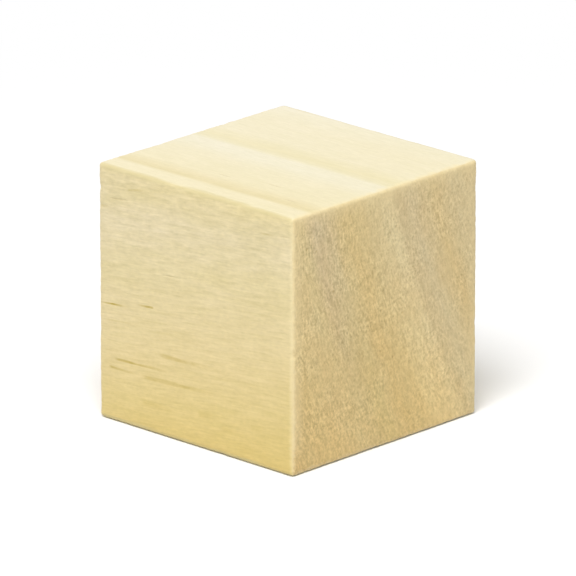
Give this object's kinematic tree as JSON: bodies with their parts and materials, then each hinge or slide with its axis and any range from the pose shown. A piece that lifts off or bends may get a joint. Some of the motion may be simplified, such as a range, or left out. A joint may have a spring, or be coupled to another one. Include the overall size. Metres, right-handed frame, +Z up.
{
  "type": "wooden cube",
  "caption": "Plain softwood cube with lightly eased arrises and rounded corners, unfinished, for stacking, craft work, models, or use as a small spacer or riser.",
  "frame": {"origin": "centre of the face that the cube rests on", "axes": "+Z up out of the top face; +X along the grain, out of the right end-grain face; -Y out of the front face, which is side grain"},
  "size_m": [0.0254, 0.0254, 0.0254],
  "materials": {
    "bare_pine": "unfinished pine, planed and sanded smooth, with fine sawn texture on the end grain"
  },
  "bodies": {
    "root": {"wooden_cube": "bare_pine"}
  },
  "joints": []
}
